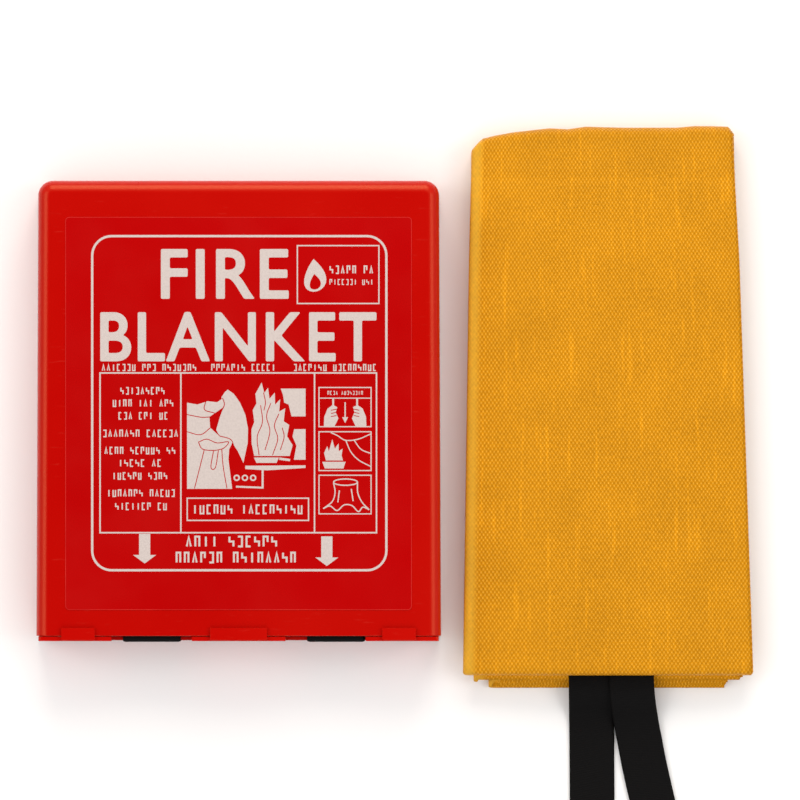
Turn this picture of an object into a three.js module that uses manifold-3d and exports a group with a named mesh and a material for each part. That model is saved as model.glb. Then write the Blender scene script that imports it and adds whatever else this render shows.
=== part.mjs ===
// Fire blanket: a wall case with its blanket packed inside, and the blanket as it looks folded out beside it.
// Millimetres. Both lie on their backs: +X to the right, +Y towards the case's top, +Z out of its front.
// The origin is the middle of the case's back, the face that goes against a wall.
import * as THREE from "three";
import { mergeVertices } from "three/addons/utils/BufferGeometryUtils.js";
import Module from "manifold-3d";

// ---- Driving dimensions ----
const clearance = 0.3; // between pieces that fit together
const past = 5; // how far a cutting solid runs past what it cuts

// Case
const caseWidth = 215; // across its top
const caseFlare = 1; // mould draft: each side leans out this much by the bottom
const shellHeight = 244;
const caseDepth = 38;
const wall = 2;
const cornerRadius = 8; // of the two top corners, seen from the front
const edgeRadius = 6.5; // from the front face into the walls

// Bottom flap
const flapThickness = 2.4;
const flapSetback = 0.4; // from the shell's front
const flapEndSetback = 1.2; // from the shell's sides
const clipHeight = 7; // overall, up from the flap's outer face
const clipThickness = 1.4;
const clipWidths = [18, 30.5, 18];
const sideClipInset = 21.5; // from the case's side to the middle of the outer clips
const tongueHeight = 6;
const tongueThickness = 1.4;
const hingeRadius = 1.2; // of the moulded bars that the flap turns on
const hingeHeight = 3.2; // of the hinge axis above the wall face
const hingePlaces = [-0.37, -0.14, 0.14, 0.37]; // shares of the case's width
const hookWidth = 8;
const hookThickness = 1.4;

// Back plate
const plateThickness = 2;
const railWidth = 1.6;
const railPlaces = [-0.25, 0, 0.25]; // shares of the case's width
const keyholeSpacing = 120;
const keyholeBelowTop = 24;
const keyholeHeadRadius = 4.75;
const keyholeShankRadius = 2.3;
const keyholeRise = 9;
const snapWidth = 12;
const snapArmThickness = 1.6;
const snapReach = 1.3; // of each lug and each hook head
const snapLugBottom = 6.2;
const snapLugHeight = 1.6;
const snapsBelowTop = [49, 143];

// Label
const labelThickness = 0.2;
const labelMarginSide = 14.7;
const labelMarginTop = 19.5;
const labelMarginBottom = 16.7; // up from the flap
const labelCorner = 2;

// Packed blanket and its pull tapes
const packSideGap = 5;
const packTopGap = 30;
const packBottomGap = 9;
const packFrontGap = 8.5;
const packSoftEdge = 4;
const tapeThickness = 1.1;
const tapeWidth = 31;
const tapePlaces = [-46.5, 52.2]; // across the case, from its middle
const notchSpacing = 93.2; // of the flap's notches that the tapes pass through
const notchWidth = 43;
const tapeSewnLength = 22; // on the front of the packed blanket
const tapeBendRadius = 1.65; // to the middle of the tape, where it turns back under the flap
const tapeEndGap = 5.2; // from the blanket's rails and the hinge hooks to the tape's turned-back end
const tapeRecess = 0.8; // in the flap's outer face, where the turned-back tape lies
const tapeCornerCut = 1.2;

// Folded blanket beside the case
const besideGap = 12;
const looseWidthTop = 141;
const looseWidthBottom = 156;
const looseLean = -3.1; // its top's middle lies this far to the left of its bottom's
const looseLength = 293; // of the upper folds
const looseThickness = 19;
const looseTopAboveCase = 28.5;
// The lower folds show past the upper ones: how far out, how far in from each side, and how high.
const looseLedges = [
  { out: 4.6, inset: 5.5, height: 8.8 },
  { out: 8, inset: 14, height: 4.6 },
];
const looseCorner = 5;
const looseSoftEdge = 2;

// Pull straps of the folded blanket, which come out between its folds, one over the other's edge.
// Points are from the middle of its bottom edge, and up from the table.
const strapWidth = 24.1;
const strapThickness = 1.4;
const strapSteps = 64;
const strapPocketDepth = 31;
const strapPocketSlack = 1;
const leftStrapRoute = [
  [-9.2, 28, 9.8],
  [-9.2, 10, 9.8],
  [-9.2, -4, 9.8],
  [-9.2, -10, 9.2],
  [-9.1, -15.5, 6.4],
  [-9, -21, 3.1],
  [-8.9, -27, 1.5],
  [-8.8, -35, 1.1],
  [-8.7, -49, 1.1],
  [-8.6, -68, 1.1],
  [-8.6, -90, 1.1],
  [-8.6, -114, 1.1],
  [-8.6, -140, 1.1],
];
const rightStrapRoute = [
  [12.3, 28, 11.6],
  [12.3, 10, 11.6],
  [12.5, -4, 11.6],
  [12.9, -11, 11.2],
  [13.6, -17, 8.9],
  [14.5, -23, 5.6],
  [15.6, -29.5, 3.2],
  [17.2, -37.5, 2.1],
  [19.4, -49, 1.7],
  [23.2, -66, 1.5],
  [27.4, -84, 1.4],
  [32.8, -108, 1.4],
  [38.8, -136, 1.4],
];

// ---- Places worked out from the sizes above ----
const caseTop = (shellHeight + clearance + flapThickness) / 2;
const shellBottom = caseTop - shellHeight;
const flapTop = shellBottom - clearance;
const flapBottom = flapTop - flapThickness;
const hingeY = (flapTop + flapBottom) / 2;
const innerFront = caseDepth - wall;
// Half of the case's outside width at a height y, with its draft.
const halfWidth = (y) => caseWidth / 2 + (caseFlare * (caseTop - y)) / shellHeight;

// ---- Solids ----
const wasm = await Module();
wasm.setup();

// A closed geometry as a solid that can be joined and cut.
function solid(geometry) {
  const bare = geometry.index ? geometry.toNonIndexed() : geometry.clone();
  bare.deleteAttribute("normal");
  bare.deleteAttribute("uv");
  const merged = mergeVertices(bare, 1e-4);
  return new wasm.Manifold(
    new wasm.Mesh({
      numProp: 3,
      vertProperties: merged.attributes.position.array,
      triVerts: new Uint32Array(merged.index.array),
    }),
  );
}

function block([x0, x1], [y0, y1], [z0, z1]) {
  const box = new THREE.BoxGeometry(x1 - x0, y1 - y0, z1 - z0);
  return solid(box.translate((x0 + x1) / 2, (y0 + y1) / 2, (z0 + z1) / 2));
}

function join(solids) {
  return solids.reduce((all, next) => all.add(next));
}

// A shape drawn in X and Y, from z0 to z1.
function upright(shape, z0, z1, options = {}) {
  const made = new THREE.ExtrudeGeometry(shape, {
    depth: z1 - z0,
    bevelEnabled: false,
    curveSegments: 10,
    ...options,
  });
  return solid(made.translate(0, 0, z0));
}

// A side profile drawn in Y and Z, from x0 to x1.
function alongX(shape, x0, x1) {
  const made = new THREE.ExtrudeGeometry(shape, {
    depth: x1 - x0,
    bevelEnabled: false,
    curveSegments: 10,
  });
  const turn = new THREE.Matrix4().makeBasis(
    new THREE.Vector3(0, 1, 0),
    new THREE.Vector3(0, 0, 1),
    new THREE.Vector3(1, 0, 0),
  );
  return solid(made.applyMatrix4(turn).translate(x0, 0, 0));
}

// A plan drawn in X and Z, from y1 down to y0.
function acrossY(shape, y0, y1) {
  const made = new THREE.ExtrudeGeometry(shape, {
    depth: y1 - y0,
    bevelEnabled: false,
    curveSegments: 6,
  });
  const turn = new THREE.Matrix4().makeBasis(
    new THREE.Vector3(1, 0, 0),
    new THREE.Vector3(0, 0, 1),
    new THREE.Vector3(0, -1, 0),
  );
  return solid(made.applyMatrix4(turn).translate(0, y1, 0));
}

function polygon(points) {
  return new THREE.Shape(points.map(([a, b]) => new THREE.Vector2(a, b)));
}

// A rectangle with round corners.
function roundRectangle([x0, x1], [y0, y1], r) {
  const shape = new THREE.Shape();
  shape.moveTo(x0 + r, y0);
  shape.lineTo(x1 - r, y0);
  shape.absarc(x1 - r, y0 + r, r, -Math.PI / 2, 0);
  shape.lineTo(x1, y1 - r);
  shape.absarc(x1 - r, y1 - r, r, 0, Math.PI / 2);
  shape.lineTo(x0 + r, y1);
  shape.absarc(x0 + r, y1 - r, r, Math.PI / 2, Math.PI);
  shape.lineTo(x0, y0 + r);
  shape.absarc(x0 + r, y0 + r, r, Math.PI, 1.5 * Math.PI);
  return shape;
}

// ---- Front shell: one moulding with a front, a top and two sides, open at the back and the bottom ----

// The case's front outline, moved in by inset, from a straight bottom at low to its round top corners.
function caseOutline(inset, low) {
  const r = cornerRadius - inset;
  const top = caseTop - inset;
  const cornerX = halfWidth(caseTop) - inset - r;
  const shape = new THREE.Shape();
  shape.moveTo(-halfWidth(low) + inset, low);
  shape.lineTo(halfWidth(low) - inset, low);
  shape.lineTo(cornerX + r, top - r);
  shape.absarc(cornerX, top - r, r, 0, Math.PI / 2);
  shape.lineTo(-cornerX, top);
  shape.absarc(-cornerX, top - r, r, Math.PI / 2, Math.PI);
  return shape;
}

// The case's outline as a block whose front edges are rounded. It runs past the back and the bottom.
function roundedBlock(inset) {
  const r = edgeRadius - inset;
  return upright(caseOutline(inset, shellBottom - 3 * past), -past, caseDepth - inset - r, {
    bevelEnabled: true,
    bevelThickness: r,
    bevelSize: r,
    bevelOffset: -r,
    bevelSegments: 7,
  });
}

function snapLug(side, y) {
  const face = halfWidth(y) - wall;
  const xs = [side * (face - snapReach), side * (face + wall / 2)].sort((a, b) => a - b);
  const ys = [y - snapWidth / 2, y + snapWidth / 2];
  return block(xs, ys, [snapLugBottom, snapLugBottom + snapLugHeight]);
}

const snapHeights = snapsBelowTop.map((down) => caseTop - down);
const reach = caseWidth; // far enough to cross the whole case

const shellBlank = roundedBlock(0).intersect(
  block([-reach, reach], [shellBottom, caseTop + past], [0, caseDepth + past]),
);
const lugs = snapHeights.flatMap((y) => [-1, 1].map((side) => snapLug(side, y)));
const frontShell = join([shellBlank.subtract(roundedBlock(wall)), ...lugs]);

// ---- Back plate: closes the back between the shell's walls, hangs on two screws, and carries the flap ----

// A round hole for a screw's head with a slot above it for the screw's shank.
function keyhole(x, y) {
  const hole = new THREE.Path();
  const slotAngle = Math.acos(keyholeShankRadius / keyholeHeadRadius);
  hole.absarc(x, y, keyholeHeadRadius, Math.PI - slotAngle, 2 * Math.PI + slotAngle);
  hole.absarc(x, y + keyholeRise, keyholeShankRadius, 0, Math.PI);
  return hole;
}

// An open hook around the hinge axis, with a root on the plate's bottom edge. It ends at the flap's outer
// face, where its mouth is narrower than the bar that snaps into it.
function hingeHook(x, plateBottom) {
  const inner = hingeRadius + clearance;
  const outer = inner + hookThickness;
  const end = (radius) => Math.acos((flapBottom - hingeY) / radius);
  const ring = new THREE.Shape();
  ring.absarc(hingeY, hingeHeight, outer, -end(outer), end(outer));
  ring.absarc(hingeY, hingeHeight, inner, end(inner), -end(inner), true);
  const ends = [x - hookWidth / 2, x + hookWidth / 2];
  const root = block(ends, [hingeY + inner + 0.4, plateBottom + 1], [hingeHeight - outer, plateThickness]);
  return join([alongX(ring, ...ends), root]);
}

// A springy arm beside the side wall, with a head that sits on top of the shell's lug.
function snapHook(side, y) {
  const face = halfWidth(y) - wall;
  const armOuter = face - snapReach - clearance;
  const headBottom = snapLugBottom + snapLugHeight + clearance;
  const ys = [y - snapWidth / 2, y + snapWidth / 2];
  const between = (a, b) => [side * a, side * b].sort((p, q) => p - q);
  const arm = block(between(armOuter - snapArmThickness, armOuter), ys, [0, headBottom + snapLugHeight]);
  const head = block(between(armOuter - 0.5, face - clearance), ys, [headBottom, headBottom + snapLugHeight]);
  return join([arm, head]);
}

const plateBottom = hingeY + hingeRadius + clearance + hookThickness + 0.8;
const plateOutline = caseOutline(wall + clearance, plateBottom);
const keyholeY = caseTop - keyholeBelowTop;
for (const side of [-1, 1]) plateOutline.holes.push(keyhole((side * keyholeSpacing) / 2, keyholeY));
const hinges = hingePlaces.map((share) => share * caseWidth);
// Rails as high as the hooks, so that the blanket slides out over them.
const railTop = hingeHeight + hingeRadius + clearance + hookThickness;
const rails = railPlaces.map((share) =>
  block(
    [share * caseWidth - railWidth / 2, share * caseWidth + railWidth / 2],
    [plateBottom + 12, keyholeY - keyholeHeadRadius - 12],
    [plateThickness - 0.5, railTop],
  ),
);
const backPlate = join([
  upright(plateOutline, 0, plateThickness),
  ...rails,
  ...hinges.map((x) => hingeHook(x, plateBottom)),
  ...snapHeights.flatMap((y) => [-1, 1].map((side) => snapHook(side, y))),
]);

// ---- Bottom flap: turns on its moulded bars in the plate's hooks, and clips over the shell's front ----
const flapHalf = halfWidth(shellBottom) - flapEndSetback;
const flapFront = caseDepth - flapSetback;
const flapBack = hingeHeight - 1.8;
const hingeNotch = hookWidth / 2 + 2;
const hingeNotchDepth = hingeHeight + hingeRadius + clearance + hookThickness + 1;
const tapeMiddle = innerFront - clearance - 0.2 - tapeThickness / 2; // the tape passes just inside the front
const tapeNotchFloor = tapeMiddle - tapeBendRadius;
const clipCentres = [-caseWidth / 2 + sideClipInset, 0, caseWidth / 2 - sideClipInset];

// An L that reaches round the shell's bottom edge and up over its front.
function clip(x, width) {
  const face = caseDepth + clearance;
  const shape = polygon([
    [flapBottom, flapFront - 1],
    [flapBottom, face + clipThickness - 0.6],
    [flapBottom + 0.6, face + clipThickness],
    [flapBottom + clipHeight, face + clipThickness],
    [flapBottom + clipHeight, face + 0.4],
    [flapBottom + clipHeight - 0.6, face],
    [flapTop, face],
    [flapTop, flapFront - 1],
  ]);
  return alongX(shape, x - width / 2, x + width / 2);
}

// The clip's partner behind the shell's front wall, set back far enough to swing clear of it.
function tongue(x, width) {
  const rise = flapTop + tongueHeight - hingeY;
  const swing = innerFront - clearance - hingeHeight;
  const front = hingeHeight + Math.sqrt(swing ** 2 - rise ** 2);
  return block(
    [x - width / 2, x + width / 2],
    [flapTop - 0.5, flapTop + tongueHeight],
    [front - tongueThickness, front],
  );
}

const flapPlate = acrossY(
  roundRectangle([-flapHalf, flapHalf], [flapBack, flapFront], 1.5),
  flapBottom,
  flapTop,
);
const flapCuts = [
  ...hinges.map((x) =>
    block([x - hingeNotch, x + hingeNotch], [flapBottom - past, flapTop + past], [-past, hingeNotchDepth]),
  ),
  ...[-1, 1].map((side) =>
    block(
      [(side * notchSpacing - notchWidth) / 2, (side * notchSpacing + notchWidth) / 2],
      [flapBottom - past, flapTop + past],
      [tapeNotchFloor, caseDepth + past],
    ),
  ),
  ...[-1, 1].map((side) =>
    block(
      [(side * notchSpacing - notchWidth) / 2, (side * notchSpacing + notchWidth) / 2],
      [flapBottom - past, flapBottom + tapeRecess],
      [railTop + tapeEndGap - 1, caseDepth + past],
    ),
  ),
  // Under the shell's side walls nothing reaches behind the hinge axis, where it would swing up into them.
  ...[-1, 1].map((side) =>
    block(
      [side * (flapHalf - wall - 2), side * (flapHalf + past)].sort((a, b) => a - b),
      [flapBottom - past, flapTop + past],
      [-past, hingeHeight + 0.8],
    ),
  ),
];
const hingeBars = hinges.map((x) => {
  const bar = new THREE.CylinderGeometry(hingeRadius, hingeRadius, 2 * hingeNotch + 1, 16);
  return solid(bar.rotateZ(Math.PI / 2).translate(x, hingeY, hingeHeight));
});
const flapRims = [-1, 1].map((side) => {
  const outer = halfWidth(shellBottom) - wall - 1;
  return block(
    [side * (outer - 1.4), side * outer].sort((a, b) => a - b),
    [flapTop - 0.5, flapTop + 4],
    [hingeHeight + 6, innerFront - 4],
  );
});
const bottomFlap = join([
  join(flapCuts.reduce((left, cut) => [left[0].subtract(cut)], [flapPlate])),
  ...hingeBars,
  ...flapRims,
  ...clipCentres.map((x, i) => clip(x, clipWidths[i])),
  ...clipCentres.map((x, i) => tongue(x, clipWidths[i] - 2)),
]);

// ---- Label: printed film stuck on the front ----
const labelHalf = caseWidth / 2 - labelMarginSide;
const frontLabel = upright(
  roundRectangle([-labelHalf, labelHalf], [flapBottom + labelMarginBottom, caseTop - labelMarginTop], labelCorner),
  caseDepth,
  caseDepth + labelThickness,
);

// ---- Packed blanket: the cloth folded to the size of the case ----
const packHalf = halfWidth(caseTop) - wall - packSideGap;
const packBottom = shellBottom + packBottomGap;
const packTop = caseTop - wall - packTopGap;
const packBack = railTop + clearance;
const packFront = innerFront - packFrontGap;

// A block with soft edges all round.
function softBlock([x0, x1], [y0, y1], [z0, z1], soft) {
  return upright(roundRectangle([x0, x1], [y0, y1], 1.5 * soft), z0 + soft, z1 - soft, {
    bevelEnabled: true,
    bevelThickness: soft,
    bevelSize: soft,
    bevelOffset: -soft,
    bevelSegments: 3,
    curveSegments: 4,
  });
}

const packedBlanket = softBlock([-packHalf, packHalf], [packBottom, packTop], [packBack, packFront], packSoftEdge);

// ---- Tapes: sewn to the front of the packed blanket, led down through the flap's notches, and turned
// back under the flap as the pull tabs ----

// The tape's route in Y and Z, as the middle of its thickness.
function tapeRoute() {
  const low = packFront + clearance + tapeThickness / 2;
  const bendY = flapBottom + tapeRecess - clearance - tapeThickness / 2 + tapeBendRadius;
  const bendZ = tapeMiddle - tapeBendRadius;
  const bend = Array.from({ length: 7 }, (_, i) => {
    const angle = (i / 6) * (Math.PI / 2);
    return [bendY - tapeBendRadius * Math.sin(angle), bendZ + tapeBendRadius * Math.cos(angle)];
  });
  return [
    [packBottom + tapeSewnLength, low],
    [packBottom + 4, low],
    [flapTop + 3, tapeMiddle],
    ...bend,
    [bendY - tapeBendRadius, railTop + tapeEndGap],
  ];
}

// The outline of a band of a given thickness about a route.
function band(route, thickness) {
  const points = route.map(([y, z]) => new THREE.Vector2(y, z));
  const side = (sign) =>
    points.map((point, i) => {
      const before = point.clone().sub(points[Math.max(i - 1, 0)]).normalize();
      const after = points[Math.min(i + 1, points.length - 1)].clone().sub(point).normalize();
      const along = before.clone().add(after).normalize();
      const ends = i === 0 || i === points.length - 1;
      const stretch = ends ? 1 : 1 / along.dot(after);
      return new THREE.Vector2(-along.y, along.x).multiplyScalar((sign * thickness * stretch) / 2).add(point);
    });
  return new THREE.Shape([...side(1), ...side(-1).reverse()]);
}

function tape(x) {
  const half = tapeWidth / 2;
  const bottom = flapBottom + tapeRecess - clearance - tapeThickness;
  const outline = polygon([
    [x - half, bottom + tapeCornerCut],
    [x - half + tapeCornerCut, bottom - 0.01],
    [x + half - tapeCornerCut, bottom - 0.01],
    [x + half, bottom + tapeCornerCut],
    [x + half, caseTop],
    [x - half, caseTop],
  ]);
  const whole = alongX(band(tapeRoute(), tapeThickness), x - half - past, x + half + past);
  return whole.intersect(upright(outline, 0, caseDepth));
}

// ---- Folded blanket: lies beside the case, with its lower folds showing past the upper ones ----
const looseMiddle = halfWidth(shellBottom) + besideGap + looseWidthBottom / 2;
const looseTop = caseTop + looseTopAboveCase;
const looseBottom = looseTop - looseLength;

// A pile of folds with soft edges, out past the bottom edge, in from each side, up to a height.
function foldPile(out, inset, height) {
  const r = looseCorner;
  const top = looseMiddle + looseLean;
  const topHalf = looseWidthTop / 2;
  const bottomHalf = looseWidthBottom / 2 - inset;
  const shape = new THREE.Shape();
  shape.moveTo(looseMiddle - bottomHalf, looseBottom - out);
  shape.lineTo(looseMiddle + bottomHalf, looseBottom - out);
  shape.lineTo(top + topHalf, looseTop - r);
  shape.absarc(top + topHalf - r, looseTop - r, r, 0, Math.PI / 2);
  shape.lineTo(top - topHalf + r, looseTop);
  shape.absarc(top - topHalf + r, looseTop - r, r, Math.PI / 2, Math.PI);
  return upright(shape, looseSoftEdge, height - looseSoftEdge, {
    bevelEnabled: true,
    bevelThickness: looseSoftEdge,
    bevelSize: looseSoftEdge,
    bevelOffset: -looseSoftEdge,
    bevelSegments: 3,
    curveSegments: 5,
  });
}

// The gap between the folds where the straps come out, over the lower folds.
const strapRoots = [leftStrapRoute[0], rightStrapRoute[0]];
const strapSides = strapRoots.map((point) => looseMiddle + point[0]);
const strapLevels = strapRoots.map((point) => point[2]);
const strapPocket = block(
  [
    Math.min(...strapSides) - strapWidth / 2 - strapPocketSlack,
    Math.max(...strapSides) + strapWidth / 2 + strapPocketSlack,
  ],
  [looseBottom - 3 * past, looseBottom + strapPocketDepth],
  [
    Math.min(...strapLevels) - strapThickness / 2 - clearance,
    Math.max(...strapLevels) + strapThickness / 2 + clearance,
  ],
);
const foldedBlanket = join([
  foldPile(0, 0, looseThickness),
  ...looseLedges.map((ledge) => foldPile(ledge.out, ledge.inset, ledge.height)),
]).subtract(strapPocket);

// ---- Pull straps: flat webbing that drops over the lower folds to the table and lies on it ----
function strap(route) {
  const points = route.map(([x, y, z]) => new THREE.Vector3(looseMiddle + x, looseBottom + y, z));
  const halfThickness = strapThickness / 2;
  const halfWide = strapWidth / 2;
  const selvedge = 0.5;
  const section = polygon([
    [-halfThickness, selvedge - halfWide],
    [-halfThickness / 2, -halfWide],
    [halfThickness / 2, -halfWide],
    [halfThickness, selvedge - halfWide],
    [halfThickness, halfWide - selvedge],
    [halfThickness / 2, halfWide],
    [-halfThickness / 2, halfWide],
    [-halfThickness, halfWide - selvedge],
  ]);
  const along = { steps: strapSteps, extrudePath: new THREE.CatmullRomCurve3(points) };
  return solid(new THREE.ExtrudeGeometry(section, along));
}

// ---- Materials and the finished group ----
const finishes = {
  casePlastic: { color: 0xc20a08, roughness: 0.35, metalness: 0 },
  labelFilm: { color: 0xb80510, roughness: 0.3, metalness: 0 },
  glassCloth: { color: 0xe8981a, roughness: 0.6, metalness: 0 },
  blackWebbing: { color: 0x141214, roughness: 0.9, metalness: 0 },
};

function meshOf(name, made, finish) {
  const { vertProperties, triVerts, numVert, numProp } = made.getMesh();
  const places = new Float32Array(numVert * 3);
  for (let i = 0; i < numVert; i++) places.set(vertProperties.subarray(i * numProp, i * numProp + 3), i * 3);
  const geometry = new THREE.BufferGeometry();
  geometry.setAttribute("position", new THREE.BufferAttribute(places, 3));
  geometry.setIndex(new THREE.BufferAttribute(triVerts, 1));
  const mesh = new THREE.Mesh(geometry, new THREE.MeshStandardMaterial(finishes[finish]));
  mesh.name = name;
  return mesh;
}

const fireBlanket = new THREE.Group();
fireBlanket.add(
  meshOf("front_shell", frontShell, "casePlastic"),
  meshOf("back_plate", backPlate, "casePlastic"),
  meshOf("bottom_flap", bottomFlap, "casePlastic"),
  meshOf("front_label", frontLabel, "labelFilm"),
  meshOf("packed_blanket", packedBlanket, "glassCloth"),
  meshOf("tape_left", tape(tapePlaces[0]), "blackWebbing"),
  meshOf("tape_right", tape(tapePlaces[1]), "blackWebbing"),
  meshOf("folded_blanket", foldedBlanket, "glassCloth"),
  meshOf("strap_left", strap(leftStrapRoute), "blackWebbing"),
  meshOf("strap_right", strap(rightStrapRoute), "blackWebbing"),
);

export default fireBlanket;
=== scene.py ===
import math

import bmesh
import bpy
import numpy as np
from mathutils import Matrix, Vector


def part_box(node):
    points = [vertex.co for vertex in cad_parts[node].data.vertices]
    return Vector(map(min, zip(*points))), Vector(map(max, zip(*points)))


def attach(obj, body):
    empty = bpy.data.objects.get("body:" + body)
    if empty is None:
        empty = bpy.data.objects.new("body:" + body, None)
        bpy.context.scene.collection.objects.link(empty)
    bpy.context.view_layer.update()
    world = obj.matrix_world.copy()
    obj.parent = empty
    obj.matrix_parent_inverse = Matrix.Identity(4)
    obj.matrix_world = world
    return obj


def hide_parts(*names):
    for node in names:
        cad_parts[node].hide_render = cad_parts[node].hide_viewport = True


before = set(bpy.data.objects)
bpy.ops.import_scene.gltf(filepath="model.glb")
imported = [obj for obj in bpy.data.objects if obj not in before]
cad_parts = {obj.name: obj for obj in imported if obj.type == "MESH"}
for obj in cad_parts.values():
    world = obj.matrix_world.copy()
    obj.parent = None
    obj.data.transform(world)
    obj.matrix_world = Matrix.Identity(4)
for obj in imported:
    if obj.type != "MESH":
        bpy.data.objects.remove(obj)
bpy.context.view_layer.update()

# ---- Table, light and camera ----
# The case and the folded blanket lie on their backs on a pale matt table, under large soft lights, and are
# seen from straight above through a long lens.
MM = 0.001
shell_low, shell_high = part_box("front_shell")
view_middle = Vector((86.5, 5.8)) * MM
view_width = 428.6 * MM  # at the height of the case's front
view_distance = 8.0
sensor = 36.0


def node_for(tree, kind, **settings):
    """One shader node. A setting is a property of the node, or an input by name (in0, in1 by number), given
    as a value or as the output that feeds it."""
    made = tree.nodes.new("ShaderNode" + kind)
    for key, value in settings.items():
        if hasattr(made, key):
            setattr(made, key, value)
            continue
        if key.startswith("in") and key[2:].isdigit():
            socket = made.inputs[int(key[2:])]
        else:
            socket = made.inputs[key.replace("_", " ")]
        if isinstance(value, bpy.types.NodeSocket):
            tree.links.new(value, socket)
        else:
            socket.default_value = value
    return made


def new_finish(name, **sockets):
    """A material with its principled shader. A socket named here is the same all over, so it is set there."""
    material = bpy.data.materials.new(name)
    material.use_nodes = True
    shader = material.node_tree.nodes["Principled BSDF"]
    for socket, value in sockets.items():
        shader.inputs[socket.replace("_", " ")].default_value = value
    return material, material.node_tree, shader


def wired(shader, **sources):
    """Feeds the shader's sockets that are named here."""
    for socket, source in sources.items():
        shader.id_data.links.new(source, shader.inputs[socket.replace("_", " ")])


def ramp_between(factor, *stops):
    """A colour that follows a factor through stops of (place, (r, g, b))."""
    ramp = node_for(factor.id_data, "ValToRGB", Fac=factor)
    while len(ramp.color_ramp.elements) < len(stops):
        ramp.color_ramp.elements.new(0.5)
    for element, (place, colour) in zip(ramp.color_ramp.elements, stops):
        element.position = place
        element.color = (*colour, 1)
    return ramp.outputs["Color"]


def speckle(place, size, detail=2.0):
    """Cloudy noise whose lumps are about size metres across, from 0 to 1."""
    return node_for(place.id_data, "TexNoise", Vector=place, Scale=1 / size, Detail=detail).outputs["Fac"]


def bumped(height, depth, strength=1.0):
    """The surface normal tilted by a height of 0 to 1 that stands for depth metres."""
    made = node_for(height.id_data, "Bump", Height=height, Distance=depth, Strength=strength)
    return made.outputs["Normal"]


def own_place(tree):
    """The point on the piece, in metres."""
    return node_for(tree, "TexCoord").outputs["Object"]


table_finish, tree, shader = new_finish("table_matt", Roughness=0.85)
place = own_place(tree)
pale = ramp_between(speckle(place, 0.25), (0.3, (0.90, 0.90, 0.90)), (0.7, (0.94, 0.94, 0.94)))
wired(shader, Base_Color=pale, Normal=bumped(speckle(place, 0.003), 0.00005))


def linked(name, data):
    """An object in the scene for a mesh, a lamp, a camera or a curve."""
    made = bpy.data.objects.new(name, data)
    bpy.context.scene.collection.objects.link(made)
    return made


table_mesh = bpy.data.meshes.new("table")
reach, drop = 6.0, -0.0002
table_corners = [(x * reach, y * reach, drop) for x, y in ((-1, -1), (1, -1), (1, 1), (-1, 1))]
table_mesh.from_pydata(table_corners, [], [(0, 1, 2, 3)])
table_mesh.materials.append(table_finish)
table = linked("table", table_mesh)

world = bpy.data.worlds.new("studio")
bpy.context.scene.world = world
world.use_nodes = True
sky = world.node_tree
up = node_for(sky, "SeparateXYZ", Vector=node_for(sky, "TexCoord").outputs["Generated"]).outputs["Z"]
shade = ramp_between(up, (0.0, (0.50, 0.48, 0.46)), (0.45, (0.99, 0.98, 0.97)),
                     (0.86, (0.96, 0.96, 0.96)), (0.955, (0.02, 0.02, 0.02)))
sky.links.new(shade, sky.nodes["Background"].inputs["Color"])
sky.nodes["Background"].inputs["Strength"].default_value = 0.95

aim = Vector((view_middle.x, view_middle.y, 0.02))
for name, spot, size, power, colour in (
    ("light_top", (0.15, 2.0, 1.25), 1.6, 38, (1.0, 0.91, 0.81)),
    ("light_left", (-1.9, 0.3, 2.1), 1.4, 15, (1.0, 0.98, 0.96)),
    ("light_right", (2.1, 0.1, 2.1), 1.4, 15, (1.0, 0.98, 0.96)),
    ("light_near", (0.1, -2.2, 1.7), 1.4, 9, (1.0, 1.0, 1.0)),
):
    lamp = bpy.data.lights.new(name, "AREA")
    lamp.size, lamp.energy, lamp.color = size, power, colour
    holder = linked(name, lamp)
    holder.location = spot
    holder.rotation_euler = (aim - Vector(spot)).to_track_quat("-Z", "Y").to_euler()

camera = bpy.data.cameras.new("camera")
camera.sensor_width = sensor
camera.lens = sensor * view_distance / view_width
camera.clip_end = 4 * view_distance
camera_holder = linked("camera", camera)
camera_holder.location = (view_middle.x, view_middle.y, shell_high.z + view_distance)
bpy.context.scene.camera = camera_holder
bpy.context.scene.view_settings.view_transform = "Standard"

# ---- Back plate ----
# A flat red moulding that hangs on two wall screws through its keyholes. It has three rails that the blanket
# slides on, four snap hooks for the shell and four open hooks for the flap. Its edges are slightly rounded.
def remapped(value, low, high, from_low=0.0, from_high=1.0):
    """A value carried in a straight line from one range to another."""
    return node_for(value.id_data, "MapRange", Value=value, From_Min=from_low, From_Max=from_high,
                    To_Min=low, To_Max=high).outputs["Result"]


def red_plastic(name, *reds):
    """Red moulded plastic in two reds that drift into each other, finely grained and scuffed a little."""
    finish, tree, shader = new_finish(name, IOR=1.45, Specular_IOR_Level=0.50,
                                      Specular_Tint=(1.0, 0.52, 0.24, 1))
    place = own_place(tree)
    clouds = speckle(place, 0.09, 3)
    red = ramp_between(clouds, (0.3, reds[0]), (0.7, reds[1]))
    slanted = node_for(tree, "Mapping", Vector=place, Scale=(90, 900, 90), Rotation=(0, 0, 0.35))
    scuffs = speckle(slanted.outputs["Vector"], 1.0, 3.0)
    scuff_mask = ramp_between(scuffs, (0.66, (0, 0, 0)), (0.74, (1, 1, 1)))
    faded = node_for(tree, "VectorMath", operation="MULTIPLY_ADD", in0=remapped(scuff_mask, 0.0, 0.05),
                     in1=(0.5, 0.15, 0.10), in2=red).outputs["Vector"]
    wired(shader, Base_Color=faded, Roughness=remapped(clouds, 0.23, 0.30, 0.3, 0.7),
          Normal=bumped(speckle(place, 0.00045), 0.00002, 0.5))
    return finish


red_finish = red_plastic("red_plastic", (0.425, 0.0006, 0.0003), (0.455, 0.0012, 0.0006))


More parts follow.
